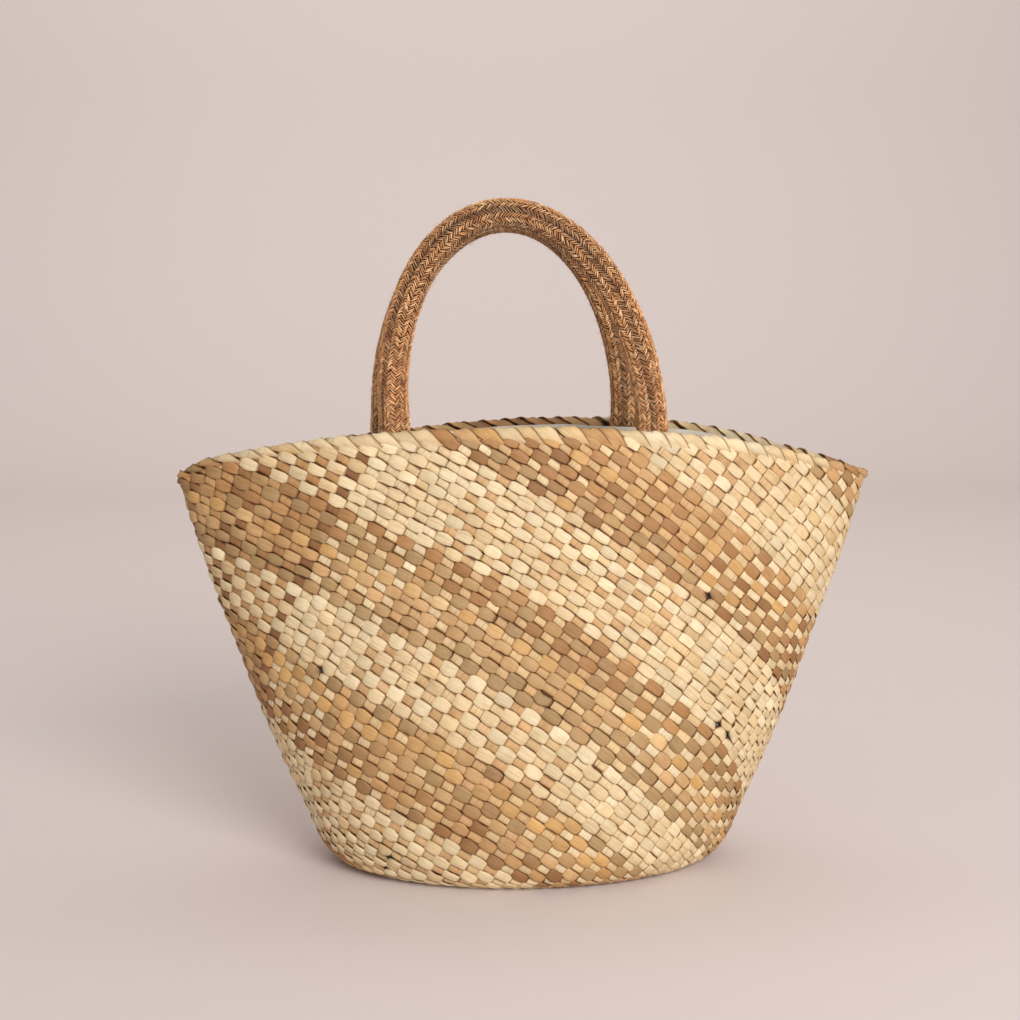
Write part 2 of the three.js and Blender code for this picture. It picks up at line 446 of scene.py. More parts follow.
underStrips = {
    "seed": 23,
    "slope": plait["slopeUnder"],
    "shift": 0.5,
    "ringsPerRow": 6,
    "lift": (0.58, 0.68),
    "hold": (-0.34, -0.15),
    "widthOver": (0.95, 0.98),
    "widthTucked": (0.88, 0.94),
    "pinchAbove": (0.2, 0.45),
    "pinchBelow": (0.2, 0.45),
    "shadeShift": (0.08, 0.0),
    "drift": 0.02,
    "upperEdge": 0.0,
    "crown": 0.45,
    "across": [-1, -0.86, -0.45, 0, 0.45, 0.86, 1, 0.5, -0.5],
    "height": [-0.1, 0.8, 0.75, 1.0, 0.75, 0.8, -0.1, -0.5, -0.5],
    "tilt": 0.05,
    "sideways": 0.25,
    "bands": [(10, 20, "tan"), (36, 47, "russet"), (48, 48, "bark"), (55, 61, "rose"), (62, 69, "blush")],
    "padMix": 0.8,
    "streaks": 0.95,
}

# what both families share
weave = {
    "padStretch": 0.1,          # unevenness from pad to pad
    "padLift": 0.12,
    "padWidth": 0.07,
    "padShade": 0.06,
    "padMixBias": 1.5,          # most pads keep close to their strip's own tint
    "stripWidth": 0.03,
    "ragged": 0.025,            # unevenness of the edges along a strip
    "lastRowGap": 0.05,
    "alongStep": 0.04,          # rows, to find a strip's direction
    "sideStep": 0.05,           # columns and rows, to find what a millimetre aside gains
    "steep": 1.8,               # how fast a strip climbs between tucked and on top
    "tuckedCrown": 0.35,
    "cornerFlat": 0.3,          # strips lie flatter under the base
    "cornerFlatRows": (-0.3, 0.8),
    "cornerSinkRows": (-0.6, 0.5),
    "grainShift": 3.7,          # grain of one strip from the next
}


def stripColours(family, rng, strips, rowCount):
    groups = ["pale"] * strips
    for first, last, group in family["bands"]:
        groups[first:last + 1] = [group] * (last + 1 - first)
    own = np.empty((strips, 3))
    pads = np.empty((strips, rowCount, 3))
    for i, group in enumerate(groups):
        choice = leafGroups[group]
        own[i] = choice[rng.integers(0, len(choice))]
        pads[i] = choice[rng.integers(0, len(choice), rowCount)]
    mix = rng.random((strips, rowCount, 1)) ** weave["padMixBias"] * family["padMix"]
    shade = 1 + rng.normal(0, weave["padShade"], (strips, rowCount, 1))
    tanStrips = np.array([group != "pale" for group in groups])
    return tanStrips, (own[:, None] * (1 - mix) + pads * mix) * shade


def weaveStrips(family):
    # every strip of one family: centre line on the wall, then its section at each ring
    rng = np.random.default_rng(family["seed"])
    strips = plait["strips"]
    rings = int((lastRow - plait["firstRow"]) * family["ringsPerRow"]) + 1
    row = np.linspace(plait["firstRow"], lastRow - weave["lastRowGap"], rings)[None]
    strip = np.arange(strips)[:, None]
    phase = row + family["shift"]
    pad = np.round(phase).astype(int)[0]
    padCount = pad.max() + 1

    def padSpread(spread):
        return rng.normal(0, spread, (strips, padCount))[:, pad]

    drift = padSpread(family["drift"]) * np.cos(math.pi * (phase - pad)) ** 2
    stretch = 1 + padSpread(weave["padStretch"])
    ragged = rng.normal(0, weave["ragged"], (strips, rings))
    fromPad = phase - pad - drift
    beat = np.cos(2 * math.pi * fromPad)
    top = np.maximum(beat, 0)
    padLift = padSpread(weave["padLift"])
    padTilt = padSpread(family["tilt"]) * top
    padSide = padSpread(family["sideways"]) * top
    padWidth = 1 + padSpread(weave["padWidth"]) * top
    padWidth = padWidth + rng.normal(0, weave["stripWidth"], (strips, 1)) + ragged

    def columnAt(at):
        return strip + family["slope"] * at - plaitLean(at)

    column = columnAt(row)
    place, normal = onPlait(column, row)
    ahead = row + weave["alongStep"]
    behind = row - weave["alongStep"]
    along = unit(onPlait(columnAt(ahead), ahead)[0] - onPlait(columnAt(behind), behind)[0])
    side = unit(np.cross(normal, along))

    # columns and rows gained in each millimetre to the side
    step = weave["sideStep"]
    perColumn = (onPlait(column + step, row)[0] - onPlait(column - step, row)[0]) / (2 * step)
    perRow = (onPlait(column, row + step)[0] - onPlait(column, row - step)[0]) / (2 * step)
    longColumn = np.sum(perColumn * perColumn, axis=-1)
    longRow = np.sum(perRow * perRow, axis=-1)
    skew = np.sum(perColumn * perRow, axis=-1)
    sideColumn = np.sum(side * perColumn, axis=-1)
    sideRow = np.sum(side * perRow, axis=-1)
    area = longColumn * longRow - skew**2
    columnGain = (sideColumn * longRow - sideRow * skew) / area
    rowGain = (sideRow * longColumn - sideColumn * skew) / area

    square = squareShare(column)

    def blend(name):
        return family[name][0] * (1 - square) + family[name][1] * square

    hung = row + droopAt(column / strips, row)
    flat = 1 - weave["cornerFlat"] * smoothStep(hung - cornerRow, *weave["cornerFlatRows"])
    sunk = smoothStep(hung - cornerRow, *weave["cornerSinkRows"])
    inset = plait["inset"] + (plait["insetBase"] - plait["inset"]) * sunk
    onTop = beat + blend("hold")
    climb = np.tanh(weave["steep"] * onTop) / math.tanh(weave["steep"])
    lift = blend("lift") * climb * (1 + padLift * top) * flat
    above = smoothStep(-fromPad * stretch, *family["pinchAbove"])
    below = smoothStep(fromPad * stretch, *family["pinchBelow"])
    tucked = np.maximum(above, below)
    width = blend("widthOver") * (1 - tucked) + blend("widthTucked") * tucked
    half = np.abs(sideColumn) * width / 2 * padWidth
    crown = family["crown"] * (1 - weave["tuckedCrown"] * tucked) * flat

    across = np.array(family["across"])
    height = np.array(family["height"])

    def beside(aside):
        # columns and rows of points so many millimetres aside
        columns = column[..., None] + columnGain[..., None] * aside
        return columns, row[..., None] + rowGain[..., None] * aside

    aside = half[..., None] * across + padSide[..., None]
    parted = partedShare(*beside(aside))
    skin, outward = onPlait(*beside(aside * (1 - plait["partedPull"] * parted)))
    up = (lift - inset)[..., None] + crown[..., None] * height
    up = up + half[..., None] * across * padTilt[..., None]
    points = skin + outward * up[..., None]

    tanStrips, padTints = stripColours(family, rng, strips, padCount)
    tint = np.repeat(padTints[:, pad][:, :, None], len(across), axis=2)
    # painted shade: the strips darken at the gaps
    tint = tint * (1 - plait["partedShade"] * parted)[..., None]
    # edge lines: partly the leaf's browner edges, partly painted shade; lighter on upper edges
    edge = np.broadcast_to(1 - np.abs(across) + family["upperEdge"] * (across > 0.9), tint.shape[:3])
    colours = np.concatenate([tint, edge[..., None]], axis=-1)
    length = np.cumsum(np.linalg.norm(np.diff(place, axis=1, prepend=place[:, :1]), axis=2), axis=1)
    fibre = np.stack(
        [
            np.broadcast_to(length[..., None], tint.shape[:3]),
            half[..., None] * across,
            np.broadcast_to(strip[..., None] * weave["grainShift"] + family["seed"], tint.shape[:3]),
        ],
        axis=-1,
    )
    # tuck value for the painted tuck shade, lowered further at the gaps
    comesOut, goesUnder = family["shadeShift"]
    shaded = onTop + np.where(fromPad < 0, comesOut, goesUnder)
    return tanStrips, points, colours, fibre, shaded[..., None] - plait["partedTuckShade"] * parted


# dry leaf: satin, with fine lines along each strip

leafFinish = {
    "fibre": (0.035, 1.45, 1.0),   # noise steps along, across and from strip to strip
    "roughness": (0.45, 0.62),
    "bump": 0.5,
    "bumpDepth": 0.0006,
    "tuck": (-0.14, 0.32),         # height over which a strip shades as it goes under
    "tuckShade": (0.22, 0.13, 0.08),
    "tuckHalf": (0.6, 0.5, 0.4),
    "rim": ((0.05, 0.12), (0.13, 0.3)),  # dark lines on the edges of plaited and of folded leaf, partly the leaf's browner edges and partly painted shade in the crevices
    "rimShade": (0.2, 0.12, 0.07),
    "rimHalf": (0.6, 0.48, 0.38),
    "lines": [(0.3, (0.72, 0.66, 0.58)), (0.5, 0.96), (0.72, 1.0)],
    "hair": [(0.3, (0.86, 0.83, 0.78)), (0.55, 1.0)],
    "stain": [(0.33, (0.86, 0.82, 0.75)), (0.55, 1.0)],
    "fineScale": 3.1,
    "stainScale": 120.0,           # on Object coordinates
    "hairShare": 0.8,
    "stainShare": 0.7,
    "specular": 0.35,
}


def leafMaterial(name, streaks, tucks=True):
    material, tree, shader = startMaterial(name)
    tint = addNode(tree, "Attribute", attribute_name="leafTint")
    place = addNode(tree, "Attribute", attribute_name="leafPlace")
    grain = {0: place.outputs["Vector"], 1: leafFinish["fibre"]}
    stretched = addNode(tree, "VectorMath", grain, operation="MULTIPLY").outputs[0]
    fibres = noise(tree, stretched, 1.0, 3.0, 0.6)
    fine = noise(tree, stretched, leafFinish["fineScale"], 2.0)
    spot = addNode(tree, "TexCoord").outputs["Object"]
    lines = ramp(tree, fibres, leafFinish["lines"])
    hair = ramp(tree, fine, leafFinish["hair"])
    stain = ramp(tree, noise(tree, spot, leafFinish["stainScale"], 3.0), leafFinish["stain"])
    dark, clear = leafFinish["rim"][0 if tucks else 1]
    edgeStops = [(0.0, leafFinish["rimShade"]), (dark, leafFinish["rimHalf"]), (clear, 1.0)]
    rims = ramp(tree, tint.outputs["Alpha"], edgeStops)
    colour = multiply(tree, tint.outputs["Color"], lines, streaks)
    colour = multiply(tree, colour, hair, leafFinish["hairShare"])
    colour = multiply(tree, colour, stain, leafFinish["stainShare"])
    colour = multiply(tree, colour, rims)
    if tucks:
        top = addNode(tree, "Attribute", attribute_name="leafTop")
        low, high = leafFinish["tuck"]
        rising = addNode(tree, "MapRange", {"Value": top.outputs["Fac"], "From Min": low, "From Max": high})
        tuckStops = [(0.0, leafFinish["tuckShade"]), (0.5, leafFinish["tuckHalf"]), (1.0, 1.0)]
        colour = multiply(tree, colour, ramp(tree, rising.outputs["Result"], tuckStops))
    tree.links.new(colour, shader.inputs["Base Color"])
    low, high = leafFinish["roughness"]
    rough = addNode(tree, "MapRange", {"Value": fibres, "To Min": low, "To Max": high})
    tree.links.new(rough.outputs["Result"], shader.inputs["Roughness"])
    both = addNode(tree, "Math", {0: fibres, 1: fine}, operation="ADD")
    addBump(tree, shader, leafFinish, both.outputs[0])
    shader.inputs["Specular IOR Level"].default_value = leafFinish["specular"]
    return material


def addLeaf(name, material, slot, node, points, colours, fibre, onTop=None):
    # one piece of many strips, from points by strip, ring and side
    rings, sides = points.shape[1:3]
    blank = rodBlank(name + "_blank", sides, rings)
    sideOf, ringOf = rodOrder(blank, sides)
    mesh = copiesOf(blank, name, points[:, ringOf, sideOf])
    pointColours(mesh, "leafTint", colours[:, ringOf, sideOf])
    pointVectors(mesh, "leafPlace", fibre[:, ringOf, sideOf])
    if onTop is not None:
        pointValues(mesh, "leafTop", onTop[:, ringOf, sideOf])
    addPiece(name, mesh, material, slot, node)
    bpy.data.meshes.remove(blank)


def addStrips(family, material, names):
    tanStrips, *leaf = weaveStrips(family)
    for name, chosen in zip(names, (~tanStrips, tanStrips)):
        addLeaf(name, material, "straw_plait", "basket_body", *(values[chosen] for values in leaf))


broadLeaf = leafMaterial("broad_leaf", overStrips["streaks"])
crossLeaf = leafMaterial("cross_leaf", underStrips["streaks"])
addStrips(overStrips, broadLeaf, ("broad_strips_pale", "broad_strips_tan"))
addStrips(underStrips, crossLeaf, ("cross_strips_pale", "cross_strips_tan"))
print("wall plaited")


# base mat: two slanting families on the flat oval, inside the turned-under ends

mat = {
    "seed": 31,
    "halfWidth": 101,
    "halfDepth": 52,
    "pitch": 11.0,
    "width": 9.6,
    "lift": 0.55,
    "crown": 0.55,
    "level": 1.75,
    "rings": 61,
    "across": [-1, -0.7, 0, 0.7, 1, 0.6, 0, -0.6],
    "height": [0.0, 0.75, 1.0, 0.75, 0.0, -0.4, -0.4, -0.4],
    "tuckNarrow": 0.12,
    "tuckAt": (-0.3, 0.6),
    "shade": 0.25,
    "shadeAt": (-0.4, 0.5),
    "paleTints": 5,             # the last of the pale tints is left out
    "tintSpread": 0.04,
    "tanShare": 0.3,
    "grainShift": 2.9,
    "grainTurn": 40,
    "streaks": 0.75,
}


def matStrips():
    rng = np.random.default_rng(mat["seed"])
    points = []
    colours = []
    fibre = []
    across = np.array(mat["across"])
    height = np.array(mat["height"])
    oval = np.array([mat["halfWidth"], mat["halfDepth"]])
    diagonal = math.sqrt(0.5)
    for way in (1, -1):
        heading = np.array([diagonal, way * diagonal])
        aside = np.array([-way * diagonal, diagonal])
        reach = math.hypot(mat["halfWidth"], mat["halfDepth"]) * diagonal
        count = int(reach / mat["pitch"])
        for number in range(-count, count + 1):
            start = aside * number * mat["pitch"]
            # where the strip's line meets the oval
            a = np.sum((heading / oval) ** 2)
            b = np.sum(heading / oval * start / oval)
            c = np.sum((start / oval) ** 2) - 1
            inside = b * b - a * c
            if inside <= 0 or math.sqrt(inside) / a < mat["pitch"]:
                continue
            ends = (-b + np.array([-1, 1]) * math.sqrt(inside)) / a
            run = np.linspace(ends[0], ends[1], mat["rings"])
            line = start[None] + heading[None] * run[:, None]
            parity = 0 if way == 1 else 1
            beat = np.cos(math.pi * (run / mat["pitch"] + number + parity))
            up = mat["level"] - mat["lift"] * beat
            half = mat["width"] / 2 * (1 - mat["tuckNarrow"] * smoothStep(-beat, *mat["tuckAt"]))
            flat = line[:, None] + aside[None, None] * (half[:, None] * across)[..., None]
            z = up[:, None] - mat["crown"] * height[None]
            points.append(np.concatenate([flat, z[..., None]], axis=-1))
            tint = leafGroups["pale"][rng.integers(0, mat["paleTints"])]
            tint = tint * (1 + rng.normal(0, mat["tintSpread"]))
            if rng.random() < mat["tanShare"]:
                tint = leafGroups["tan"][rng.integers(0, len(leafGroups["tan"]))]
            shade = 1 - mat["shade"] * (1 - smoothStep(beat, *mat["shadeAt"]))
            tone = np.broadcast_to(tint * shade[:, None, None], (*z.shape, 3))
            edge = np.broadcast_to(1 - np.abs(across), z.shape)
            colours.append(np.concatenate([tone, edge[..., None]], axis=-1))
            fibre.append(
                np.stack(
                    [
                        np.broadcast_to(run[:, None], z.shape),
                        np.broadcast_to(across * mat["width"] / 2, z.shape),
                        np.full(z.shape, number * mat["grainShift"] + way * mat["grainTurn"]),
                    ],
                    axis=-1,
                )
            )
    return np.array(points), np.array(colours), np.array(fibre)


matLeaf = leafMaterial("mat_leaf", mat["streaks"], tucks=False)
addLeaf("base_mat", matLeaf, "straw_plait", "basket_body", *matStrips())
print("base plaited")


# plaited edge: folded strips wrapped on the slant over the top of the wall

rim = {
    "seed": 41,
    "folds": 74,
    # way of a fold over the wall: out from the wall's middle and up from the top of the edge
    "out": [-2.2, -2.5, -2.5, -1.7, 0.0, 1.7, 2.4, 2.3, 1.5, 0.2],
    "up": [-9.5, -7.0, -4.2, -2.2, -1.5, -2.2, -4.0, -6.6, -9.6, -12.4],
    "advance": 2.3,             # pitches gained along the edge on the way over
    "width": 10.2,
    "widthInside": 0.72,
    "widthEnd": 0.5,
    "slimEnds": 0.4,            # the outer face is lower at the ends of the bag
    "narrowEnds": 0.3,
    "crown": 0.5,
    "shingle": 0.95,
    "uneven": 0.1,              # spread of the folds' spacing
    "slantSpread": 0.05,
    "widthSpread": 0.07,
    "shingleSpread": 0.2,
    "crownSpread": 0.12,
    "tintSpread": 0.05,
    "bulge": 0.45,              # spread of how far they stand up on top
    "bulgeAt": (0.47, 0.16),
    "endGap": 0.012,            # share of the way left out at both ends of a fold
    "coverAt": (0.3, 0.5),      # where a fold comes up from inside
    "insideShade": 0.3,
    "taperAt": (0.72, 1),
    "slimAt": (0.2, 1),
    "narrowWithin": 0.03,       # share of the way round, from each end of the bag
    "shareStep": 0.0005,        # to find which way the surface faces
    "overStep": 0.004,
    "grainLength": 40,
    "grainShift": 5.3,
    "streaks": 0.85,
    "roundSteps": 2881,
    "rings": 35,
    "across": [-1, -0.85, 0, 0.85, 1, 0.7, 0, -0.7],
    "lift": [-0.1, 0.7, 1.0, 0.7, -0.1, -0.4, -0.4, -0.4],
    # leaf by share of the way round from the right end, over the back
    "bands": [
        (0, 0.04, "tan"), (0.04, 0.2, "pale"), (0.2, 0.5, "russet"), (0.5, 0.525, "tan"),
        (0.525, 0.68, "pale"), (0.68, 0.7, "brown"), (0.7, 0.8, "amber"), (0.8, 0.955, "pale"),
        (0.955, 1, "tan"),
    ],
}


def rimSurface(share, step):
    # point of the edge at a share of the way round, and a step from 0 low inside to 1 low outside
    theta = np.interp(share % 1, rimShares, rimAngles)
    edge = edgeHeightAt(theta)
    out = smoothColumn(step, rimSteps, rim["out"])
    slim = 1 - rim["slimEnds"] * smoothStep(np.abs(np.cos(theta)), *rim["slimAt"]) * (step > 0.5)
    level = edge + smoothColumn(step, rimSteps, rim["up"]) * slim
    return wallPoint(theta, np.minimum(level / edge, 1), wall["thickness"] / 2 - out, level)


rimAngles = np.linspace(0, 2 * math.pi, rim["roundSteps"])
rimLine = wallPoint(rimAngles, 1, wall["thickness"] / 2, edgeHeightAt(rimAngles))
rimLength = lengthAlong(rimLine)
rimShares = rimLength / rimLength[-1]
rimWay = lengthAlong(np.stack([rim["out"], rim["up"]], axis=-1))
rimSteps = rimWay / rimWay[-1]


def rimFolds():
    rng = np.random.default_rng(rim["seed"])
    folds = rim["folds"]
    way = np.linspace(rim["endGap"], 1 - rim["endGap"], rim["rings"])[None]
    start = (np.arange(folds)[:, None] + rng.normal(0, rim["uneven"], (folds, 1))) / folds
    lean = rim["advance"] / folds * (1 + rng.normal(0, rim["slantSpread"], (folds, 1)))
    slant = np.arctan2(lean * rimLength[-1], rimWay[-1])
    outside = smoothStep(way, *rim["coverAt"])
    taper = rim["widthInside"] + (1 - rim["widthInside"]) * outside
    taper = taper * (1 - (1 - rim["widthEnd"]) * smoothStep(way, *rim["taperAt"]))
    half = rim["width"] / 2 * taper * (1 + rng.normal(0, rim["widthSpread"], (folds, 1)))
    toEnd = np.minimum(start % 0.5, 0.5 - start % 0.5)
    half = half * (1 - rim["narrowEnds"] * smoothStep(-toEnd, -rim["narrowWithin"], 0))
    across = np.array(rim["across"])
    lift = np.array(rim["lift"])
    aside = half[..., None] * across
    share = (start + lean * (way - 0.5))[..., None] + aside * np.cos(slant)[..., None] / rimLength[-1]
    step = way[..., None] - aside * np.sin(slant)[..., None] / rimWay[-1]
    overStep = rim["overStep"]
    shareStep = rim["shareStep"]
    step = np.clip(step, overStep, 1 - overStep)
    place = rimSurface(share, step)
    over = rimSurface(share, step + overStep) - rimSurface(share, step - overStep)
    sideways = rimSurface(share + shareStep, step) - rimSurface(share - shareStep, step)
    normal = unit(np.cross(over, sideways))
    shingle = rim["shingle"] * (1 + rng.normal(0, rim["shingleSpread"], (folds, 1)))
    crown = rim["crown"] * (1 + rng.normal(0, rim["crownSpread"], (folds, 1)))
    middle, spread = rim["bulgeAt"]
    bulge = np.random.default_rng(rim["seed"] + 1).normal(0, rim["bulge"], (folds, 1))
    bulge = bulge * np.exp(-(((way - middle) / spread) ** 2))
    up = crown[..., None] * lift + shingle[..., None] * across + bulge[..., None]
    points = place + normal * up[..., None]
    tint = np.empty((folds, 3))
    for i, at in enumerate(start[:, 0] % 1):
        choice = next(leafGroups[group] for low, high, group in rim["bands"] if low <= at <= high)
        tint[i] = choice[rng.integers(0, len(choice))] * (1 + rng.normal(0, rim["tintSpread"]))
    shade = 1 - rim["insideShade"] * (1 - outside)
    tint = np.broadcast_to(tint[:, None, None], (*up.shape, 3)) * shade[..., None, None]
    edge = np.broadcast_to(1 - np.abs(across), up.shape)
    colours = np.concatenate([tint, edge[..., None]], axis=-1)
    fibre = np.stack(
        [
            np.broadcast_to(way[..., None] * rim["grainLength"], up.shape),
            np.broadcast_to(across * rim["width"] / 2, up.shape),
            np.broadcast_to(np.arange(folds)[:, None, None] * rim["grainShift"], up.shape),
        ],
        axis=-1,
    )
    return points, colours, fibre


edgeLeaf = leafMaterial("edge_leaf", rim["streaks"], tucks=False)
addLeaf("rim_folds", edgeLeaf, "straw_edge", "rim_braid", *rimFolds())
print("edge plaited")


# handles: a padded core under a herringbone braid of jute

handle = {
    "seatHalfSpan": 82.8,
    "rise": 128,
    "footHeight": 301,
    "clearance": 0.4,
    "straighten": 40,
    "creaseDepth": 0.2,
    "creaseSpread": 0.42,
    "groove": 0.16,             # seam that turns from the right leg's front to the left leg's outer side
    "grooveSpread": 0.2,
    "grooveAlong": [0, 0.3, 0.5, 0.7, 1],
    "grooveSide": [-0.1, 0.05, 0.34, 0.56, 0.82],
    "rimThickness": 6.4,
    "height": [-46, -32, -16, -6, 4, 40, 90, 128],
    "width": [25, 24.5, 23.2, 22, 21.4, 21.2, 21.2, 21.2],
    "thickness": [7, 8, 11.5, 14, 15, 18.5, 20, 20],
    "legTop": -2,
    "legSteps": 18,
    "archSteps": 73,
    "easings": 4,
    "sectionSteps": 361,
    "step": 1.2,
    "around": 96,
    "coreInset": 1.25,
    "coreEvery": 3,             # the core has a third of the skin's points round it
}
braid = {
    "columns": 18,              # half columns round the handle, leaning by turns
    "pitch": 1.8,
    "lean": 0.76,
    "halfLength": 2.9,
    "halfWidth": 0.5,
    "halfHeight": 0.55,
    "inset": 0.6,
    "bow": 0.35,
    "bowEnds": 1.9,
    "facets": 4,
    "clearEnds": 2,
    "stray": 0.16,              # unevenness of the strands
    "liftSpread": 0.08,
    "deepShare": 0.25,          # share of deep strands, and where the light ones start
    "lightFrom": 0.72,
    "toneSpread": 0.1,
    "undersideShade": 0.46,             # painted shade under the arch, on the faces that turn down
    "undersideShadeAt": (-0.1, 0.8),
    "grooveShade": 0.55,
    "topShade": 0.16,               # and painted shade, a little darker towards the top of the arch
    "topShadeAt": (60, 120),
}
fuzz = {
    "count": 2600,
    "length": (1.0, 4.2),
    "halfWidth": 0.1,
    "tip": 0.15,
    "scatter": 1.1,
    "sunk": 0.4,
    "clearEnds": (6, 40),
}
handleRows = [
    {"node": "handle_front", "slot": "jute_front", "side": -1, "shift": -4.5, "lean": -11, "seed": 51},
    {"node": "handle_back", "slot": "jute_back", "side": 1, "shift": -11, "lean": 0, "seed": 61},
]


def handleSize(name, height):
    return smoothColumn(height, handle["height"], handle[name])


def legInset(height):
    seat = wall["thickness"] / 2 + handle["rimThickness"] / 2 + handle["clearance"]
    return seat + handleSize("thickness", height) / 2


def legStation(row, end, height):
    def angleAt(rise):
        return row["side"] * math.acos((end * handle["seatHalfSpan"] + row["shift"]) / halfWidthAt(rise))

    level = handle["footHeight"] + height
    rise = min(level / edgeHeightAt(angleAt(1)), 1)
    angle = angleAt(rise)
    middle = wallPoint(angle, rise, legInset(height), level)
    facing = unit(wallPoint(angle, rise, 0, level) - middle) * row["side"]
    return height, middle, facing


def handleStations(row):
    legHeights = np.linspace(handle["height"][0], handle["legTop"], handle["legSteps"])
    stations = [legStation(row, 1, height) for height in legHeights]
    rightFoot = legStation(row, 1, 0)
    leftFoot = legStation(row, -1, 0)
    for turn in np.linspace(0, math.pi, handle["archSteps"]):
        height = handle["rise"] * math.sin(turn)
        share = (1 + math.cos(turn)) / 2
        middle = leftFoot[1] * (1 - share) + rightFoot[1] * share
        middle = middle + (row["lean"] * height / handle["rise"], 0, height)
        foot = leftFoot if math.cos(turn) < 0 else rightFoot
        straight = smoothStep(height, 0, handle["straighten"])
        facing = foot[2] * (1 - straight) + np.array([0, 1, 0]) * straight
        stations.append((height, middle, facing))
    stations += [legStation(row, -1, height) for height in legHeights[::-1]]
    heights = np.array([s[0] for s in stations], float)
    middles = np.array([s[1] for s in stations])
    facings = np.array([s[2] for s in stations])
    length = lengthAlong(middles)
    even = np.linspace(0, length[-1], int(length[-1] / handle["step"]) + 1)

    def resample(values):
        columns = [np.interp(even, length, column) for column in np.atleast_2d(values.T)]
        result = np.array(columns).T
        for easing in range(handle["easings"]):  # smooths the joins of legs and arch
            result[1:-1] = result[1:-1] * 0.5 + (result[:-2] + result[2:]) * 0.25
        return result

    return even, resample(heights)[:, 0], resample(middles), unit(resample(facings))


def handleGrid(row):
    # skin of the handle: stations along it, even shares of the girth round it
    even, heights, middles, facings = handleStations(row)
    along = unit(np.gradient(middles, axis=0))
    through = unit(facings - along * np.sum(along * facings, axis=1, keepdims=True))
    across = np.cross(through, along)
    width = handleSize("width", heights)[:, None]
    thick = handleSize("thickness", heights)[:, None]
    turn = np.linspace(0, 2 * math.pi, handle["sectionSteps"])[None]
    crease = 1 - handle["creaseDepth"] * np.exp(-(((turn - math.pi) / handle["creaseSpread"]) ** 2))
    seam = np.arccos(smoothColumn(even / even[-1], handle["grooveAlong"], handle["grooveSide"]))[:, None]
    fromSeam = np.abs((turn + seam + math.pi) % (2 * math.pi) - math.pi)
    groove = np.exp(-((fromSeam / handle["grooveSpread"]) ** 2))
    crease = crease - handle["groove"] * groove
    u = width / 2 * np.cos(turn) * crease
    v = thick / 2 * np.sin(turn) * crease
    girth = np.array([lengthAlong(section) for section in np.stack([u, v], axis=-1)])
    shares = np.linspace(0, 1, handle["around"] + 1)

    def evenRound(lines):
        return np.array([np.interp(shares * g[-1], g, line) for g, line in zip(girth, lines)])

    aside = across[:, None] * evenRound(u)[..., None]
    skin = middles[:, None] + aside + through[:, None] * evenRound(v)[..., None]
    normal = unit(np.cross(roundSlope(skin), np.gradient(skin, axis=0)))
    outward = np.sum(normal * (skin - middles[:, None]), axis=2).mean()
    return even, girth[:, -1].mean(), skin, normal * np.sign(outward), evenRound(groove)


def onSkin(skin, normal, even, share, distance):
    return onGrid(skin, normal, share % 1 * handle["around"], distance / even[1])


juteTints = {
    "light": linear(253, 203, 148),
    "middle": linear(229, 167, 108),
    "deep": linear(195, 133, 80),
    # the dark core tint is painted shade, seen in the gaps between the strands
    "core": linear(80, 46, 24),
}
juteFinish = {
    "hairScale": 1400.0,
    "driftScale": 180.0,
    "fleck": [(0.3, (0.62, 0.56, 0.5)), (0.5, 0.95), (0.7, 1.2)],
    "drift": [(0.3, (0.82, 0.8, 0.78)), (0.6, 1.05)],
    "share": 0.8,
    "bump": 0.5,
    "bumpDepth": 0.0004,
    "roughness": 0.85,
    "specular": 0.2,
    "sheen": 0.25,
    "sheenRoughness": 0.5,
}


def juteMaterial(name):
    material, tree, shader = startMaterial(name)
    tint = addNode(tree, "Attribute", attribute_name="juteTint")
    spot = addNode(tree, "TexCoord").outputs["Object"]
    hairs = noise(tree, spot, juteFinish["hairScale"], 2.0)
    soft = noise(tree, spot, juteFinish["driftScale"], 3.0)
    fleck = ramp(tree, hairs, juteFinish["fleck"])
    drift = ramp(tree, soft, juteFinish["drift"])
    colour = multiply(tree, tint.outputs["Color"], fleck, juteFinish["share"])
    colour = multiply(tree, colour, drift, juteFinish["share"])
    tree.links.new(colour, shader.inputs["Base Color"])
    addBump(tree, shader, juteFinish, hairs)
    shader.inputs["Roughness"].default_value = juteFinish["roughness"]
    shader.inputs["Specular IOR Level"].default_value = juteFinish["specular"]
    shader.inputs["Sheen Weight"].default_value = juteFinish["sheen"]
    shader.inputs["Sheen Roughness"].default_value = juteFinish["sheenRoughness"]
    return material


def handleCore(row, even, skin, normal):
    # closed tube just under the braid; its dark tint is painted shade for the gaps between the strands
    sides = handle["around"] // handle["coreEvery"]
    blank = rodBlank("core_blank", sides, len(even))
    sideOf, ringOf = rodOrder(blank, sides)
    inner = (skin - normal * handle["coreInset"])[:, :-1:handle["coreEvery"]]
    mesh = copiesOf(blank, row["node"] + "_core", inner[ringOf, sideOf][None])
    bpy.data.meshes.remove(blank)
    return mesh, np.tile([*juteTints["core"], 1], (len(mesh.vertices), 1))


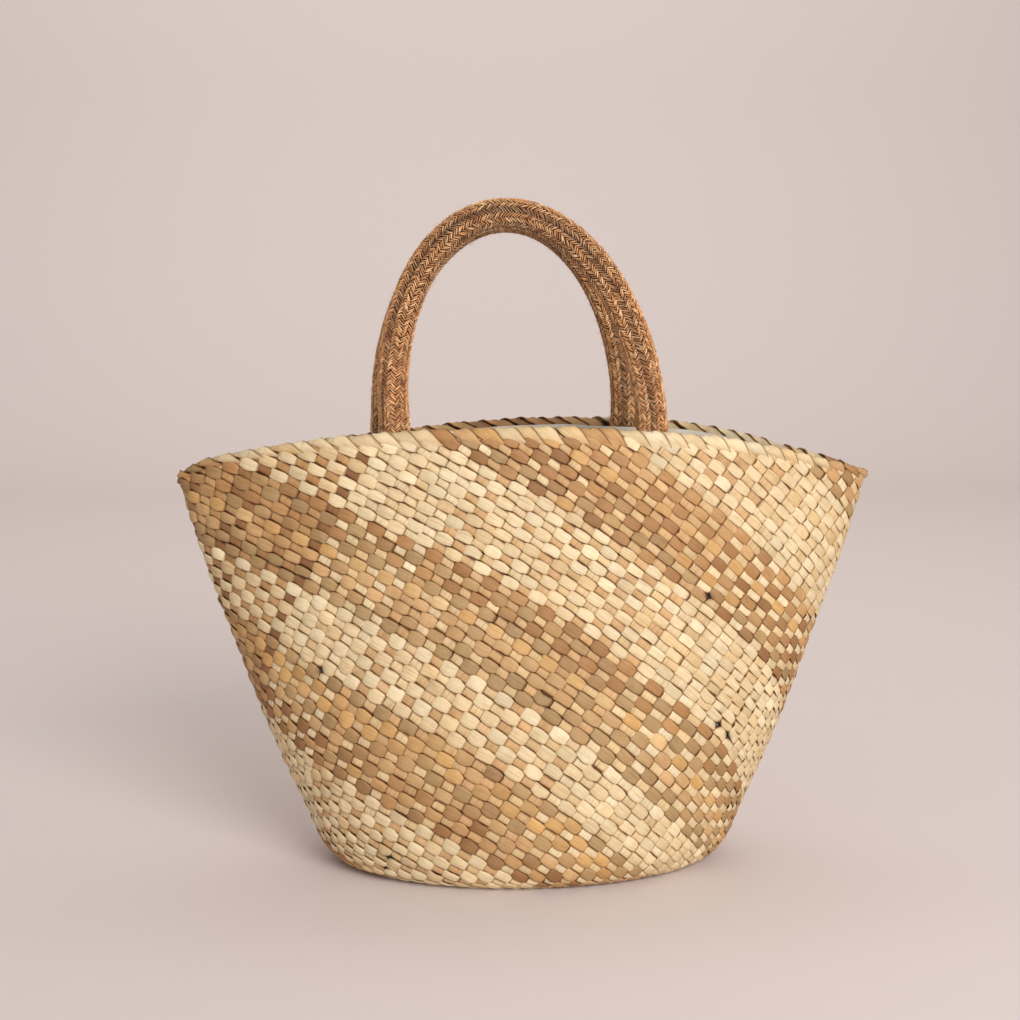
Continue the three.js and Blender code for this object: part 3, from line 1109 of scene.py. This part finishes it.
def braidStitches(row, even, girth, skin, normal, hollow):
    rng = np.random.default_rng(row["seed"])
    bm = bmesh.new()
    bmesh.ops.create_uvsphere(bm, u_segments=braid["facets"], v_segments=braid["facets"], radius=1)
    blank = bpy.data.meshes.new("stitch_blank")
    bm.to_mesh(blank)
    bm.free()
    shape = blankPlaces(blank)
    rows = int((even[-1] - 2 * braid["clearEnds"]) / braid["pitch"])
    column, line = np.meshgrid(np.arange(braid["columns"]), np.arange(rows), indexing="ij")
    column = column.ravel()[:, None]
    line = line.ravel()[:, None]
    count = len(column)
    way = np.where(column % 2 == 0, 1, -1)

    def eachStitch(spread):
        return rng.normal(0, spread, (count, 1))

    lean = braid["lean"] * (1 + eachStitch(braid["stray"]))
    long = shape[None, :, 2] * braid["halfLength"]
    wide = shape[None, :, 0] * braid["halfWidth"] * (1 + eachStitch(braid["stray"]))
    high = shape[None, :, 1] * braid["halfHeight"]
    bow = braid["bow"] * (1 - shape[None, :, 2] ** 2 * braid["bowEnds"])
    roundMm = long * np.cos(lean) - wide * np.sin(lean) * way
    alongMm = long * np.sin(lean) * way + wide * np.cos(lean)
    share = (column + 0.5) / braid["columns"] + (roundMm + eachStitch(braid["stray"])) / girth
    distance = braid["clearEnds"] + (line + 0.5) * braid["pitch"] + alongMm + eachStitch(braid["stray"])
    place, out = onSkin(skin, normal, even, share, distance)
    up = high + bow - braid["inset"] + eachStitch(braid["liftSpread"])
    mesh = copiesOf(blank, row["node"] + "_braid", place + out * up[..., None])
    bpy.data.meshes.remove(blank)
    tone = rng.random((count, 1))
    tint = np.where(tone < braid["lightFrom"], juteTints["middle"], juteTints["light"])
    tint = np.where(tone < braid["deepShare"], juteTints["deep"], tint)
    tint = np.repeat((tint * (1 + eachStitch(braid["toneSpread"])))[:, None], len(shape), axis=1)
    # painted shade on the faces that turn down
    tint = tint * (1 - braid["undersideShade"] * smoothStep(-out[..., 2:], *braid["undersideShadeAt"]))
    near = np.clip(distance / even[1], 0, len(even) - 1).astype(int)
    side = (share % 1 * handle["around"]).astype(int)
    tint = tint * (1 - braid["grooveShade"] * hollow[near, side][..., None])
    # painted shade towards the top of the arch
    raised = place[..., 2:] - handle["footHeight"]
    tint = tint * (1 - braid["topShade"] * smoothStep(raised, *braid["topShadeAt"]))
    colours = np.concatenate([tint, np.ones((*tint.shape[:2], 1))], axis=-1)
    return mesh, colours.reshape(-1, 4)


def handleFuzz(row, even, skin, normal):
    rng = np.random.default_rng(row["seed"] + 1)
    count = fuzz["count"]
    bm = bmesh.new()
    bmesh.ops.create_cone(bm, cap_ends=False, segments=3, radius1=1, radius2=fuzz["tip"], depth=1)
    bmesh.ops.translate(bm, verts=bm.verts[:], vec=(0, 0, 0.5))
    blank = bpy.data.meshes.new("fibre_blank")
    bm.to_mesh(blank)
    bm.free()
    shape = blankPlaces(blank)
    share = rng.random(count)
    distance = rng.uniform(fuzz["clearEnds"][0], even[-1] - fuzz["clearEnds"][1], count)
    root, out = onSkin(skin, normal, even, share, distance)
    heading = unit(out + rng.normal(0, fuzz["scatter"], (count, 3)))
    side = unit(np.cross(heading, rng.normal(0, 1, (count, 3))))
    other = np.cross(heading, side)
    length = rng.uniform(*fuzz["length"], (count, 1, 1))
    wide, high, far = (shape[None, :, axis, None] for axis in range(3))
    places = root[:, None] - out[:, None] * fuzz["sunk"] + heading[:, None] * far * length
    places = places + (side[:, None] * wide + other[:, None] * high) * fuzz["halfWidth"]
    mesh = copiesOf(blank, row["node"] + "_fuzz", places)
    bpy.data.meshes.remove(blank)
    return mesh, np.tile([*juteTints["middle"], 1], (len(mesh.vertices), 1))


for row in handleRows:
    jute = juteMaterial(row["slot"])
    even, girth, skin, normal, hollow = handleGrid(row)
    for mesh, colours in (
        handleCore(row, even, skin, normal),
        braidStitches(row, even, girth, skin, normal, hollow),
        handleFuzz(row, even, skin, normal),
    ):
        pointColours(mesh, "juteTint", colours)
        addPiece(mesh.name, mesh, jute, row["slot"], row["node"])
    print(row["node"], "braided, girth", round(girth, 1), "mm, length", round(even[-1]), "mm")


# lining: a thin cotton bag inside the wall, pushed in over the handle legs

lining = {
    "around": 240,
    "down": 52,
    "floorRings": 10,
    "gap": 0.4,
    "topDrop": 5.8,
    "overFolds": 1.9,
    "thickness": 0.9,
    "pushHalfWidth": 18,
    "pushFade": 24,
    "pushBelow": 30,
    "pushClearance": 0.8,
    "legClear": 4,
    "floorGap": 0.35,
    "seatGap": 0.4,
    "hem": 7,
    "hemThick": 0.35,
    "hemFade": 0.5,
    "foldsAt": (-18, -11),      # from the top of the edge, where the cloth passes the ends of the folds
    "wrinkle": 0.5,
    "wrinkleRise": (0.03, 0.2),
    "wrinkleMiddle": 0.6,
    "waves": [(0.4, 9, 5, 0), (0.5, 23, -11, 1.3)],  # size, turns round, turns up, start
    "floorPoint": 0.002,        # share of the floor left in the middle, then merged to a point
    "mergeWithin": 2,
    "grainRound": 150,
    "flat": (0.80, 0.34),
}


def liningInset(point, height):
    seat = wall["thickness"] + lining["gap"]
    level = np.minimum(height - handle["footHeight"], 0)
    overLeg = legInset(level) + handleSize("thickness", level) / 2 + lining["pushClearance"]
    shift = np.where(point[..., 1] >= 0, handleRows[1]["shift"], handleRows[0]["shift"])
    aside = np.abs(np.abs(point[..., 0] - shift) - handle["seatHalfSpan"]) - lining["pushHalfWidth"]
    below = handle["height"][0] - lining["legClear"] - level
    sideShare = 1 - smoothStep(aside, 0, lining["pushFade"])
    downShare = 1 - smoothStep(below, 0, lining["pushBelow"])
    return seat + (overLeg - seat) * sideShare * downShare


def buildLining():
    rings = lining["down"] + lining["floorRings"]
    mesh = rodBlank("lining_cloth", lining["around"], rings, capped=False)
    places = blankPlaces(mesh)
    theta = np.arctan2(places[:, 1], places[:, 0])
    ring = np.round(places[:, 2])
    rise = np.clip((ring - lining["floorRings"] + 1) / lining["down"], 0, 1)
    floorShare = np.clip(ring / (lining["floorRings"] - 1), lining["floorPoint"], 1)
    edge = edgeHeightAt(theta)
    topHeight = edge - lining["topDrop"]
    share = rise * topHeight / edge
    floor = wall["thickness"] + lining["gap"] + lining["floorGap"]
    height = floor + rise * (topHeight - floor)
    outer = wallPoint(theta, share, 0, height)
    sag = lining["wrinkleMiddle"]
    for size, turns, climbs, start in lining["waves"]:
        sag = sag + size * np.sin(turns * theta + climbs * rise + start)
    sag = lining["wrinkle"] * smoothStep(rise, *lining["wrinkleRise"]) * sag
    inset = liningInset(outer, height) + lining["seatGap"] + np.maximum(sag, 0)
    fromHem = height - topHeight + lining["hem"]
    inset = inset + lining["hemThick"] * smoothStep(fromHem, -lining["hemFade"], lining["hemFade"])
    inset = inset + lining["overFolds"] * smoothStep(height - edge, *lining["foldsAt"])
    cloth = wallPoint(theta, share, inset, height)
    cloth[:, :2] *= np.where(rise > 0, 1, floorShare)[:, None]
    mesh.vertices.foreach_set("co", (cloth * mm).astype(np.float32).ravel())
    spread = np.stack([theta * lining["grainRound"], height, topHeight - height], axis=-1)
    pointVectors(mesh, "clothPlace", spread)
    bm = bmesh.new()
    bm.from_mesh(mesh)
    middle = [v for v in bm.verts if v.co.xy.length < lining["mergeWithin"] * mm]
    bmesh.ops.pointmerge(bm, verts=middle, merge_co=(0, 0, floor * mm))
    bmesh.ops.recalc_face_normals(bm, faces=bm.faces[:])
    bm.to_mesh(mesh)
    bm.free()
    mesh.shade_smooth()
    return mesh


clothFinish = {
    "tint": linear(208, 198, 183),
    # painted shade in the furrows between the threads
    "furrow": 0.86,
    "threads": 5.2,             # radians in each millimetre
    "slubScale": 90.0,
    "slub": [(0.3, (0.86, 0.85, 0.83)), (0.65, 1.0)],
    "stitchAt": (1.2, 0.4),     # millimetres above the lower edge of the hem
    "stitch": (0.62, 0.6, 0.56),
    "bump": 0.3,
    "bumpDepth": 0.0003,
    "roughness": 0.9,
    "specular": 0.2,
}


def clothMaterial(name):
    material, tree, shader = startMaterial(name)
    place = addNode(tree, "Attribute", attribute_name="clothPlace")
    split = addNode(tree, "SeparateXYZ", {0: place.outputs["Vector"]})
    waves = []
    for axis in range(2):
        turns = {0: split.outputs[axis], 1: clothFinish["threads"]}
        turns = addNode(tree, "Math", turns, operation="MULTIPLY").outputs[0]
        waves.append(addNode(tree, "Math", {0: turns}, operation="SINE").outputs[0])
    crossing = addNode(tree, "Math", dict(enumerate(waves)), operation="MULTIPLY").outputs[0]
    level = addNode(tree, "MapRange", {"Value": crossing, "From Min": -1.0, "From Max": 1.0})
    pale = clothFinish["tint"]
    # the furrows between threads are darkened: painted shade
    threads = ramp(tree, level.outputs["Result"], [(0.0, pale * clothFinish["furrow"]), (1.0, pale)])
    spot = addNode(tree, "TexCoord").outputs["Object"]
    cloud = ramp(tree, noise(tree, spot, clothFinish["slubScale"], 4.0), clothFinish["slub"])
    low, high = (lining["hem"] - above for above in clothFinish["stitchAt"])
    seam = addNode(tree, "MapRange", {"Value": split.outputs[2], "From Min": low, "From Max": high})
    stitches = [(0.0, 1.0), (0.3, clothFinish["stitch"]), (0.7, clothFinish["stitch"]), (1.0, 1.0)]
    colour = multiply(tree, multiply(tree, threads, cloud), ramp(tree, seam.outputs["Result"], stitches))
    tree.links.new(colour, shader.inputs["Base Color"])
    addBump(tree, shader, clothFinish, level.outputs["Result"])
    shader.inputs["Roughness"].default_value = clothFinish["roughness"]
    shader.inputs["Specular IOR Level"].default_value = clothFinish["specular"]
    return material


cotton = clothMaterial("lining_cotton")
liningPiece = addPiece("lining_cloth", buildLining(), cotton, "lining_cloth", "lining")
thicken = liningPiece.modifiers.new("cloth", "SOLIDIFY")
thicken.thickness = lining["thickness"] * mm
thicken.offset = 0
print("lining hung")


# studio: pale sweep, soft light from the upper right, camera at the eye's place

studio = {
    "floorColour": linear(226, 213, 208),
    "world": (1.0, 0.985, 0.975),
    "worldStrength": 0.42,
    "keyPlace": (0.74, -1.94, 1.05),
    "keyPower": 41.5,
    "keySize": 1.2,
    "washPlace": (0, 0.9, 2.3),      # lights the backdrop alone
    "washTarget": (0, 2.7, 0.9),
    "washPower": 24,
    "washSize": 2.4,
    "target": (0, 0, 0.18),
    "sweepHalfWidth": 6,
    "sweepFront": -4,
    "sweepCorner": 1.9,              # where the floor starts to bend up
    "sweepBend": 0.8,
    "sweepTop": 5,
    "bendSteps": 16,
    "paperRoughness": 0.9,
}
camera = {
    "distance": 1130,
    "height": 395,
    "azimuth": -4,
    "pitch": 7.95,
    "turn": 0.534,
    "focal": 1718,                   # in pixels of the picture, whose width follows
    "picture": 1020,
    "sensor": 36,
}


def buildSweep():
    # two points drawn back along the floor and up the backdrop
    bm = bmesh.new()
    front = studio["sweepFront"]
    corner = studio["sweepCorner"]
    bend = studio["sweepBend"]
    ends = [bm.verts.new((side * studio["sweepHalfWidth"], front, 0)) for side in (-1, 1)]
    turns = np.linspace(0, math.pi / 2, studio["bendSteps"] + 1)
    line = [(corner + bend * math.sin(turn), bend - bend * math.cos(turn)) for turn in turns]
    line.append((corner + bend, studio["sweepTop"]))
    edges = [bm.edges.new(ends)]
    before = (front, 0)
    for y, z in line:
        grown = bmesh.ops.extrude_edge_only(bm, edges=edges)["geom"]
        moved = [v for v in grown if isinstance(v, bmesh.types.BMVert)]
        bmesh.ops.translate(bm, verts=moved, vec=(0, y - before[0], z - before[1]))
        edges = [e for e in grown if isinstance(e, bmesh.types.BMEdge)]
        before = (y, z)
    bmesh.ops.recalc_face_normals(bm, faces=bm.faces[:])
    mesh = bpy.data.meshes.new("studio_sweep")
    bm.to_mesh(mesh)
    bm.free()
    mesh.shade_smooth()
    material, tree, shader = startMaterial("studio_paper")
    shader.inputs["Base Color"].default_value = (*studio["floorColour"], 1)
    shader.inputs["Roughness"].default_value = studio["paperRoughness"]
    mesh.materials.append(material)
    sweep = bpy.data.objects.new("studio_sweep", mesh)
    bpy.context.scene.collection.objects.link(sweep)


def addLight(name, place, target, power, size):
    lamp = bpy.data.lights.new(name, "AREA")
    lamp.energy = power
    lamp.size = size
    light = bpy.data.objects.new(name, lamp)
    bpy.context.scene.collection.objects.link(light)
    aim = np.array(target) - np.array(place)
    light.location = place
    tilt = math.acos(-aim[2] / np.linalg.norm(aim))
    light.rotation_euler = (tilt, 0, math.atan2(aim[1], aim[0]) - math.pi / 2)


buildSweep()
addLight("key", studio["keyPlace"], studio["target"], studio["keyPower"], studio["keySize"])
addLight("wash", studio["washPlace"], studio["washTarget"], studio["washPower"], studio["washSize"])
world = bpy.data.worlds.new("soft_room")
world.use_nodes = True
world.node_tree.nodes["Background"].inputs["Color"].default_value = (*studio["world"], 1)
world.node_tree.nodes["Background"].inputs["Strength"].default_value = studio["worldStrength"]
bpy.context.scene.world = world
bpy.context.scene.view_settings.view_transform = "Standard"

lens = bpy.data.cameras.new("camera")
lens.sensor_width = camera["sensor"]
lens.lens = camera["focal"] / camera["picture"] * camera["sensor"]
eye = bpy.data.objects.new("camera", lens)
bpy.context.scene.collection.objects.link(eye)
azimuth = math.radians(camera["azimuth"])
eye.location = (
    math.sin(azimuth) * camera["distance"] * mm,
    -math.cos(azimuth) * camera["distance"] * mm,
    camera["height"] * mm,
)
eye.rotation_euler = (
    math.radians(90 - camera["pitch"]),
    0,
    azimuth + math.radians(camera["turn"]),
)
bpy.context.scene.camera = eye
print("studio lit")
